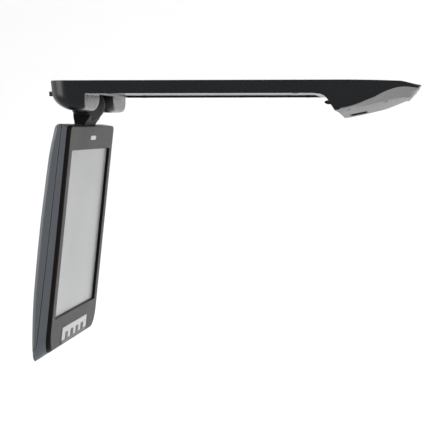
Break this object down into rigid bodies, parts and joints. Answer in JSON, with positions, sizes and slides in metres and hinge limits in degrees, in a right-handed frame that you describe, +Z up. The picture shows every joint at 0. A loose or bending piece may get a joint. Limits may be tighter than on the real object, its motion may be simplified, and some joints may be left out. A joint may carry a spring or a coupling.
{
  "type": "video magnifier",
  "caption": "Shelf-mounted video magnifier: a slim arm with a camera head and a flip-down flat screen with keys on a friction hinge.",
  "frame": {"origin": "centre of the four shelf screw holes, on the flat top face of the arm, which lies against the underside of the shelf", "axes": "+Z up, out of the top face; +X along the arm from the hinge to the camera head; +Y across the arm, to the left of someone who sits at the hinge end and looks along +X"},
  "size_m": [0.3608, 0.248, 0.2631],
  "materials": {
    "gloss_black": "gloss moulded",
    "bezel_black": "gloss moulded",
    "case_grey": "satin paint on plastic",
    "satin_silver": "satin silver paint on plastic",
    "plate_steel": "zinc plated sheet",
    "bracket_steel": "pressed sheet",
    "bright_steel": "ground",
    "washer_brass": "plain",
    "fastener": "black zinc",
    "window_glass": "coated flat glass",
    "lens_black": "matt moulded",
    "circuit_board": "solder mask",
    "lamp_diffuser": "frosted",
    "lamp_board": "white solder mask",
    "heat_alloy": "extruded",
    "socket_black": "matt moulded",
    "knob_black": "fine texture",
    "catch_nylon": "plain moulded",
    "rubber_pad": "plain",
    "lcd_can": "metal can over plastic frame",
    "display_face": "anti-glare film",
    "bright_alloy": "fine brushed",
    "status_green": "translucent",
    "key_black": "soft touch"
  },
  "bodies": {
    "base": {"mount_plate": "plate_steel", "arm_housing": "gloss_black", "hinge_brackets": "bracket_steel", "bracket_screws": "fastener", "hinge_pins": "bright_steel", "friction_washers": "washer_brass", "hinge_nuts": "fastener", "head_cover": "satin_silver", "camera_window": "window_glass", "lens_barrel": "lens_black", "sensor_board": "circuit_board", "lamp_bezels": "lens_black", "lamp_lenses": "lamp_diffuser", "lamp_boards": "lamp_board", "main_board": "circuit_board", "heat_spreader": "heat_alloy", "power_inlet": "socket_black", "switch_body": "socket_black", "catch_housing": "socket_black", "buffer_pads": "rubber_pad", "plate_screws": "fastener", "cover_screws": "fastener"},
    "screen": {"knuckle_shell": "gloss_black", "knuckle_core": "bracket_steel", "core_screws": "fastener", "screen_back": "case_grey", "screen_frame": "case_grey", "front_bezel": "bezel_black", "lcd_module": "lcd_can", "display_glass": "display_face", "driver_board": "circuit_board", "key_plate": "bright_alloy", "keypad_board": "circuit_board", "status_lens": "status_green", "badge": "bright_alloy", "strike_plate": "bright_steel", "screen_screws": "fastener"},
    "switch": {"switch_knob": "knob_black"},
    "catch": {"catch_plunger": "catch_nylon"},
    "key_menu": {"key_1": "key_black"},
    "key_less": {"key_2": "key_black"},
    "key_more": {"key_3": "key_black"},
    "key_power": {"key_4": "key_black"}
  },
  "joints": [
    {"name": "screen_tilt", "type": "hinge", "parent": "base", "child": "screen", "pos_m": [-0.157, 0, -0.0215], "axis": [0, -1, 0], "range_deg": [-12, 96]},
    {"name": "switch_slide", "type": "slide", "parent": "base", "child": "switch", "axis": [0, 1, 0], "range_m": [0, 0.004]},
    {"name": "catch_slide", "type": "slide", "parent": "base", "child": "catch", "axis": [1, 0, 0], "range_m": [0, 0.003], "stiffness_N_per_m": 800, "springref_m": -0.004},
    {"name": "key_menu_press", "type": "slide", "parent": "screen", "child": "key_menu", "axis": [-0.9945, 0, 0.1045], "range_m": [0, 0.0008], "stiffness_N_per_m": 1200, "springref_m": -0.0006},
    {"name": "key_less_press", "type": "slide", "parent": "screen", "child": "key_less", "axis": [-0.9945, 0, 0.1045], "range_m": [0, 0.0008], "stiffness_N_per_m": 1200, "springref_m": -0.0006},
    {"name": "key_more_press", "type": "slide", "parent": "screen", "child": "key_more", "axis": [-0.9945, 0, 0.1045], "range_m": [0, 0.0008], "stiffness_N_per_m": 1200, "springref_m": -0.0006},
    {"name": "key_power_press", "type": "slide", "parent": "screen", "child": "key_power", "axis": [-0.9945, 0, 0.1045], "range_m": [0, 0.0008], "stiffness_N_per_m": 1200, "springref_m": -0.0006}
  ]
}
